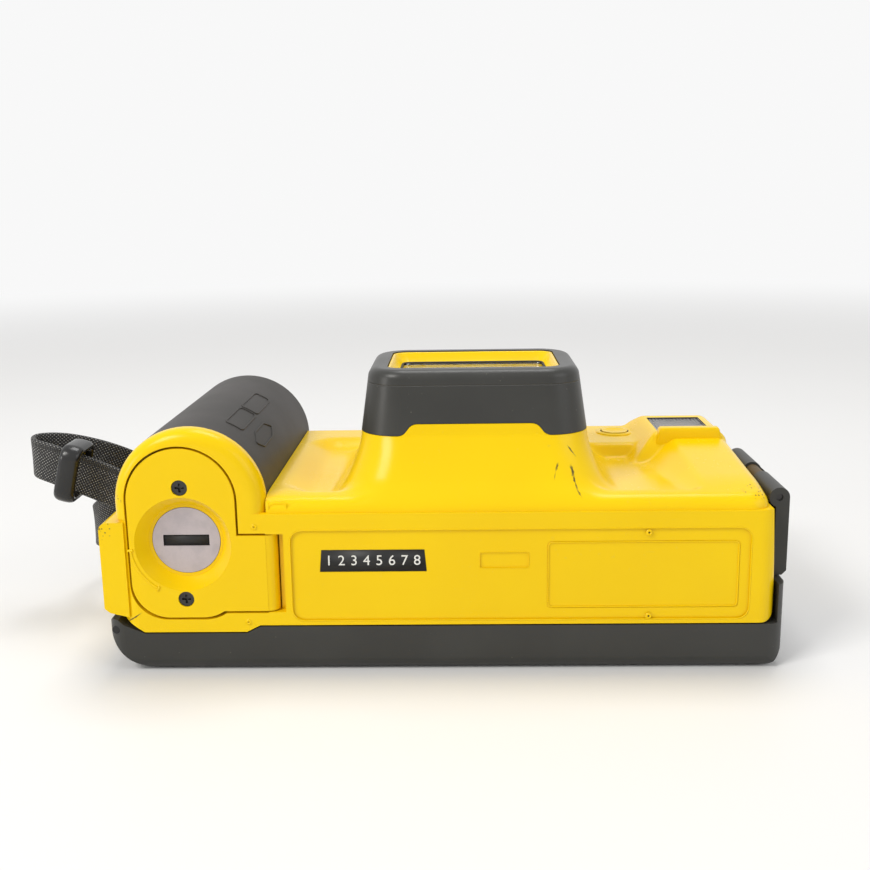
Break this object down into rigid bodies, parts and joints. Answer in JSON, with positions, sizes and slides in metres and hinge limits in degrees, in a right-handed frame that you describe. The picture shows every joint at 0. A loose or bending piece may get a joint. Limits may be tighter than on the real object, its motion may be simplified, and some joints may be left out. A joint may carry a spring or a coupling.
{
  "type": "waterproof film camera",
  "caption": "Waterproof compact film camera with a gasketed rear cover, coin-slot battery door, hooded lens, flash, viewfinder, geared film transport and wrist strap.",
  "frame": {"origin": "middle of the back rest, the flat outer face of the rear cover on which the camera lies", "axes": "+X along the film to the cassette and latch end, +Y from the base plate to the top plate, +Z from the rear cover to the lens"},
  "size_m": [0.1793, 0.1022, 0.0645],
  "materials": {
    "yellow": "gloss",
    "grey": "satin",
    "grip": "matte",
    "black": "satin",
    "clear": "polished",
    "optical_glass": "polished",
    "steel": "satin",
    "disc_metal": "brushed",
    "black_steel": "satin",
    "seal": "matte",
    "board": "gloss",
    "gear_plastic": "satin",
    "brass": "satin",
    "mirror_metal": "polished",
    "battery_wrap": "gloss",
    "button": "gloss",
    "webbing": "woven"
  },
  "bodies": {
    "camera_body": {"body_shell": "yellow", "front_panel": "yellow", "grip_cover": "grip", "lens_hood": "grey", "lens_bezel": "yellow", "port_glass": "clear", "port_seal": "seal", "chassis": "black", "chassis_screws": "black_steel", "guide_rods": "steel", "film_motor": "steel", "viewfinder_tube": "black", "viewfinder_eyepiece": "clear", "viewfinder_objective": "clear", "viewfinder_window": "clear", "autofocus_windows": "clear", "flash_window": "clear", "flash_reflector": "mirror_metal", "flash_tube": "clear", "flash_capacitor": "black_steel", "circuit_board": "board", "battery": "battery_wrap", "battery_contacts": "brass", "door_hinge_pin": "steel", "shutter_spring": "steel", "counter_window": "clear", "strap_bar": "steel", "wrist_strap": "webbing", "strap_buckle": "black"},
    "rear_cover": {"rear_cover": "grey", "rear_cover_seal": "seal", "cover_hinge_pin": "steel", "pressure_spring": "brass"},
    "pressure_plate": {"pressure_plate": "black_steel"},
    "battery_door": {"battery_door": "yellow", "door_screws": "black_steel", "door_seal": "seal"},
    "door_lock": {"door_lock_disc": "disc_metal", "door_lock_tongue": "steel"},
    "cover_latch": {"cover_latch": "grey", "latch_pin": "steel"},
    "lens_barrel": {"lens_barrel": "black", "front_lens": "optical_glass", "rear_lens": "optical_glass", "shutter_unit": "black"},
    "take_up_spool": {"take_up_spool": "black"},
    "transport_gear_1": {"transport_gear_1": "gear_plastic"},
    "transport_gear_2": {"transport_gear_2": "gear_plastic"},
    "transport_gear_3": {"transport_gear_3": "gear_plastic"},
    "rewind_fork": {"rewind_fork": "black"},
    "sprocket": {"sprocket": "black"},
    "counter_dial": {"counter_dial": "gear_plastic"},
    "shutter_button": {"shutter_button": "button"},
    "main_switch": {"main_switch": "grey"},
    "zoom_button": {"zoom_button": "grey"},
    "self_timer_button": {"self_timer_button": "grey"}
  },
  "joints": [
    {"name": "rear_cover_hinge", "type": "hinge", "parent": "camera_body", "child": "rear_cover", "pos_m": [-0.0717, 0, 0.0095], "axis": [0, 1, 0], "range_deg": [0, 105]},
    {"name": "pressure_plate_slide", "type": "slide", "parent": "rear_cover", "child": "pressure_plate", "axis": [0, 0, -1], "range_m": [0, 0.0008], "stiffness_N_per_m": 1000, "springref_m": -0.0002},
    {"name": "battery_door_hinge", "type": "hinge", "parent": "camera_body", "child": "battery_door", "pos_m": [-0.0377, -0.0336, 0.0224], "axis": [0, 0, 1], "range_deg": [0, 105]},
    {"name": "door_lock_turn", "type": "hinge", "parent": "battery_door", "child": "door_lock", "pos_m": [-0.0556, -0.031, 0.0291], "axis": [0, -1, 0], "range_deg": [0, 90]},
    {"name": "cover_latch_hinge", "type": "hinge", "parent": "camera_body", "child": "cover_latch", "pos_m": [0.0732, -0.011, 0.0369], "axis": [0, -1, 0], "range_deg": [0, 70]},
    {"name": "lens_barrel_slide", "type": "slide", "parent": "camera_body", "child": "lens_barrel", "axis": [0, 0, 1], "range_m": [0, 0.006]},
    {"name": "take_up_spool_spin", "type": "hinge", "parent": "camera_body", "child": "take_up_spool", "pos_m": [-0.0296, 0, 0.0214], "axis": [0, 1, 0], "continuous": true},
    {"name": "transport_gear_1_spin", "type": "hinge", "parent": "camera_body", "child": "transport_gear_1", "pos_m": [-0.01237, 0.019, 0.02448], "axis": [0, 1, 0], "continuous": true},
    {"name": "transport_gear_2_spin", "type": "hinge", "parent": "camera_body", "child": "transport_gear_2", "pos_m": [0.0087, 0.019, 0.0234], "axis": [0, 1, 0], "continuous": true},
    {"name": "transport_gear_3_spin", "type": "hinge", "parent": "camera_body", "child": "transport_gear_3", "pos_m": [0.02978, 0.019, 0.02424], "axis": [0, 1, 0], "continuous": true},
    {"name": "rewind_fork_spin", "type": "hinge", "parent": "camera_body", "child": "rewind_fork", "pos_m": [0.047, 0.015, 0.0211], "axis": [0, 1, 0], "continuous": true},
    {"name": "sprocket_spin", "type": "hinge", "parent": "camera_body", "child": "sprocket", "pos_m": [-0.017, -0.0066, 0.0122], "axis": [0, 1, 0], "continuous": true},
    {"name": "counter_dial_spin", "type": "hinge", "parent": "camera_body", "child": "counter_dial", "pos_m": [0.055, 0.032, 0.026], "axis": [0, 1, 0], "continuous": true},
    {"name": "shutter_button_press", "type": "slide", "parent": "camera_body", "child": "shutter_button", "axis": [0, -1, 0], "range_m": [0, 0.0012], "stiffness_N_per_m": 600, "springref_m": -0.0005},
    {"name": "main_switch_slide", "type": "slide", "parent": "camera_body", "child": "main_switch", "axis": [1, 0, 0], "range_m": [-0.0025, 0.0025]},
    {"name": "zoom_button_press", "type": "slide", "parent": "camera_body", "child": "zoom_button", "axis": [0, -1, 0], "range_m": [0, 0.0009], "stiffness_N_per_m": 600, "springref_m": -0.0005},
    {"name": "self_timer_button_press", "type": "slide", "parent": "camera_body", "child": "self_timer_button", "axis": [0, 0, -1], "range_m": [0, 0.0008], "stiffness_N_per_m": 600, "springref_m": -0.0005}
  ],
  "couplings": [
    {"joint": "transport_gear_1_spin", "follows": "take_up_spool_spin", "ratio": -0.65385},
    {"joint": "transport_gear_2_spin", "follows": "take_up_spool_spin", "ratio": 0.65385},
    {"joint": "transport_gear_3_spin", "follows": "take_up_spool_spin", "ratio": -0.65385},
    {"joint": "rewind_fork_spin", "follows": "take_up_spool_spin", "ratio": 1},
    {"joint": "sprocket_spin", "follows": "take_up_spool_spin", "ratio": 2.6471},
    {"joint": "counter_dial_spin", "follows": "take_up_spool_spin", "ratio": 0.0372}
  ]
}
